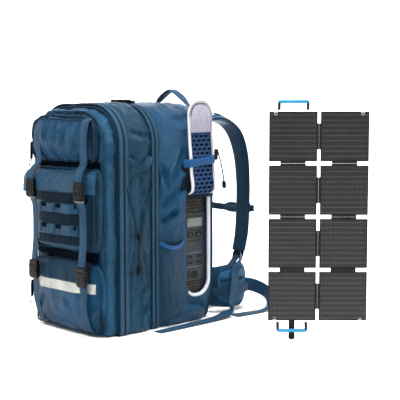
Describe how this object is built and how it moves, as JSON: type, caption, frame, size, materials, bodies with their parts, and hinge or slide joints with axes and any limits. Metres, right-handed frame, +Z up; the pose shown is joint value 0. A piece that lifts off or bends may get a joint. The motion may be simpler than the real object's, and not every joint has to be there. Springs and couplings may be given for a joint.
{
  "type": "solar backpack",
  "caption": "Sixty-litre-class backpack with a power station in a side bay, and the folding solar panel that charges it standing open beside the pack.",
  "frame": {"origin": "centre of the pack's base, on the surface it stands on", "axes": "+X towards the side with the power bay and the folding panel, +Y towards the wearer's back and the shoulder straps, +Z up"},
  "size_m": [0.804, 0.685, 0.636],
  "materials": {
    "shell_blue": "woven polyester, slight sheen",
    "shell_dark": "woven polyester, darker panel",
    "webbing_blue": "ribbed webbing",
    "padding_dark": "mesh over foam",
    "lining_grey": "coated lining cloth",
    "plastic_black": "satin moulded",
    "case_grey": "fine-textured moulded",
    "screen_grey": "smooth",
    "solar_laminate": "satin laminate",
    "grip_blue": "soft-touch",
    "cord_black": "braided cord"
  },
  "bodies": {
    "pack": {"rear_compartment": "shell_blue", "main_compartment": "shell_dark", "front_compartment": "shell_blue", "top_pocket": "shell_blue", "molle_pocket": "shell_dark", "molle_flap": "webbing_blue", "lower_pocket": "shell_blue", "bottle_pocket_right": "shell_blue", "bottle_pocket_left": "shell_blue", "back_pad": "padding_dark", "station_case": "case_grey", "station_battery": "plastic_black", "station_fascia": "case_grey", "station_display": "screen_grey", "station_usb_block": "plastic_black", "station_ac_outlet": "plastic_black", "top_buckle": "plastic_black", "shoulder_strap_right": "padding_dark", "shoulder_strap_left": "padding_dark", "shoulder_webbing_right": "webbing_blue", "shoulder_webbing_left": "webbing_blue", "hip_webbing": "webbing_blue", "hip_tail": "webbing_blue", "buckle_upper_right_socket": "plastic_black", "buckle_lower_right_socket": "plastic_black", "strap_upper_right": "webbing_blue", "strap_middle_right": "webbing_blue", "buckle_upper_left_socket": "plastic_black", "buckle_lower_left_socket": "plastic_black", "strap_upper_left": "webbing_blue", "strap_middle_left": "webbing_blue"},
    "port_cover": {"port_cover": "lining_grey", "port_cover_strap": "webbing_blue", "cover_zip_cord": "cord_black"},
    "carry_handle": {"carry_handle": "webbing_blue"},
    "power_button": {"power_button": "plastic_black"},
    "ac_button": {"ac_button": "plastic_black"},
    "side_zip": {"side_zip_slider": "plastic_black", "side_zip_cord": "cord_black"},
    "lower_zip": {"lower_zip_slider": "plastic_black"},
    "top_zip": {"top_zip_slider": "plastic_black"},
    "sternum_strap": {"sternum_webbing": "webbing_blue", "sternum_buckle": "plastic_black"},
    "hip_wing_right": {"hip_wing_right": "shell_blue"},
    "latch_upper_right": {"buckle_upper_right_latch": "plastic_black"},
    "latch_lower_right": {"buckle_lower_right_latch": "plastic_black"},
    "hip_wing_left": {"hip_wing_left": "shell_blue"},
    "latch_upper_left": {"buckle_upper_left_latch": "plastic_black"},
    "latch_lower_left": {"buckle_lower_left_latch": "plastic_black"},
    "tile_1_left": {"solar_tile_1_left": "solar_laminate"},
    "tile_1_right": {"solar_tile_1_right": "solar_laminate"},
    "tile_2_left": {"solar_tile_2_left": "solar_laminate"},
    "tile_2_right": {"solar_tile_2_right": "solar_laminate"},
    "tile_3_left": {"solar_tile_3_left": "solar_laminate"},
    "tile_3_right": {"solar_tile_3_right": "solar_laminate"},
    "tile_4_left": {"solar_tile_4_left": "solar_laminate", "panel_connector": "plastic_black"},
    "tile_4_right": {"solar_tile_4_right": "solar_laminate"},
    "panel_handle_upper": {"panel_handle_upper": "grip_blue"},
    "panel_handle_lower": {"panel_handle_lower": "grip_blue"}
  },
  "joints": [
    {"name": "port_cover_fold", "type": "hinge", "parent": "pack", "child": "port_cover", "pos_m": [0.1672, 0.109, 0.345], "axis": [0, 1, 0], "range_deg": [0, 180]},
    {"name": "carry_handle_swing", "type": "hinge", "parent": "pack", "child": "carry_handle", "pos_m": [0, 0.168, 0.6], "axis": [1, 0, 0], "range_deg": [-75, 75]},
    {"name": "power_button_press", "type": "slide", "parent": "pack", "child": "power_button", "axis": [-1, 0, 0], "range_m": [0, 0.001], "stiffness_N_per_m": 800},
    {"name": "ac_button_press", "type": "slide", "parent": "pack", "child": "ac_button", "axis": [-1, 0, 0], "range_m": [0, 0.001], "stiffness_N_per_m": 800},
    {"name": "side_zip_slide", "type": "slide", "parent": "pack", "child": "side_zip", "axis": [0, 0, 1], "range_m": [-0.14, 0.18]},
    {"name": "lower_zip_slide", "type": "slide", "parent": "pack", "child": "lower_zip", "axis": [0, 0, 1], "range_m": [-0.05, 0.06]},
    {"name": "top_zip_slide", "type": "slide", "parent": "pack", "child": "top_zip", "axis": [0, 0, 1], "range_m": [-0.018, 0.045]},
    {"name": "sternum_strap_slide", "type": "slide", "parent": "pack", "child": "sternum_strap", "axis": [0, 0, 1], "range_m": [-0.04, 0.04]},
    {"name": "hip_wing_right_hinge", "type": "hinge", "parent": "pack", "child": "hip_wing_right", "pos_m": [0.109, 0.192, 0.074], "axis": [0, 0, 1], "range_deg": [-30, 6], "deforming": ["hip_webbing", "hip_tail"]},
    {"name": "hip_wing_left_hinge", "type": "hinge", "parent": "pack", "child": "hip_wing_left", "pos_m": [-0.109, 0.192, 0.074], "axis": [0, 0, 1], "range_deg": [-6, 30]},
    {"name": "latch_upper_right_slide", "type": "slide", "parent": "pack", "child": "latch_upper_right", "axis": [0, 0, 1], "range_m": [0, 0.02]},
    {"name": "latch_lower_right_slide", "type": "slide", "parent": "pack", "child": "latch_lower_right", "axis": [0, 0, 1], "range_m": [0, 0.02]},
    {"name": "latch_upper_left_slide", "type": "slide", "parent": "pack", "child": "latch_upper_left", "axis": [0, 0, 1], "range_m": [0, 0.02]},
    {"name": "latch_lower_left_slide", "type": "slide", "parent": "pack", "child": "latch_lower_left", "axis": [0, 0, 1], "range_m": [0, 0.02]},
    {"name": "panel_lift", "type": "slide", "parent": "pack", "child": "tile_1_left", "axis": [0, 0, 1], "range_m": [0, 0.3]},
    {"name": "row_fold_1", "type": "hinge", "parent": "tile_1_left", "child": "tile_2_left", "pos_m": [0.48329, 0.11707, 0.446], "axis": [0.7266, 0.6871, 0], "range_deg": [0, 180]},
    {"name": "row_fold_2", "type": "hinge", "parent": "tile_2_left", "child": "tile_3_left", "pos_m": [0.49154, 0.10835, 0.3116], "axis": [-0.7266, -0.6871, 0], "range_deg": [0, 180]},
    {"name": "row_fold_3", "type": "hinge", "parent": "tile_3_left", "child": "tile_4_left", "pos_m": [0.48329, 0.11707, 0.1772], "axis": [0.7266, 0.6871, 0], "range_deg": [0, 180]},
    {"name": "column_fold_1", "type": "hinge", "parent": "tile_1_left", "child": "tile_1_right", "pos_m": [0.53406, 0.15682, 0.5132], "axis": [0, 0, -1], "range_deg": [0, 180]},
    {"name": "column_fold_2", "type": "hinge", "parent": "tile_2_left", "child": "tile_2_right", "pos_m": [0.53406, 0.15682, 0.3788], "axis": [0, 0, -1], "range_deg": [0, 180]},
    {"name": "column_fold_3", "type": "hinge", "parent": "tile_3_left", "child": "tile_3_right", "pos_m": [0.53406, 0.15682, 0.2444], "axis": [0, 0, -1], "range_deg": [0, 180]},
    {"name": "column_fold_4", "type": "hinge", "parent": "tile_4_left", "child": "tile_4_right", "pos_m": [0.53406, 0.15682, 0.11], "axis": [0, 0, -1], "range_deg": [0, 180]},
    {"name": "panel_handle_upper_swing", "type": "hinge", "parent": "tile_1_left", "child": "panel_handle_upper", "pos_m": [0.48535, 0.11489, 0.5796], "axis": [0.7266, 0.6871, 0], "range_deg": [-20, 70]},
    {"name": "panel_handle_lower_swing", "type": "hinge", "parent": "tile_4_left", "child": "panel_handle_lower", "pos_m": [0.48535, 0.11489, 0.0436], "axis": [0.7266, 0.6871, 0], "range_deg": [-70, 0]}
  ],
  "couplings": [
    {"joint": "row_fold_2", "follows": "row_fold_1", "ratio": 1},
    {"joint": "row_fold_3", "follows": "row_fold_1", "ratio": 1},
    {"joint": "column_fold_2", "follows": "column_fold_1", "ratio": 1},
    {"joint": "column_fold_3", "follows": "column_fold_1", "ratio": 1},
    {"joint": "column_fold_4", "follows": "column_fold_1", "ratio": 1}
  ]
}
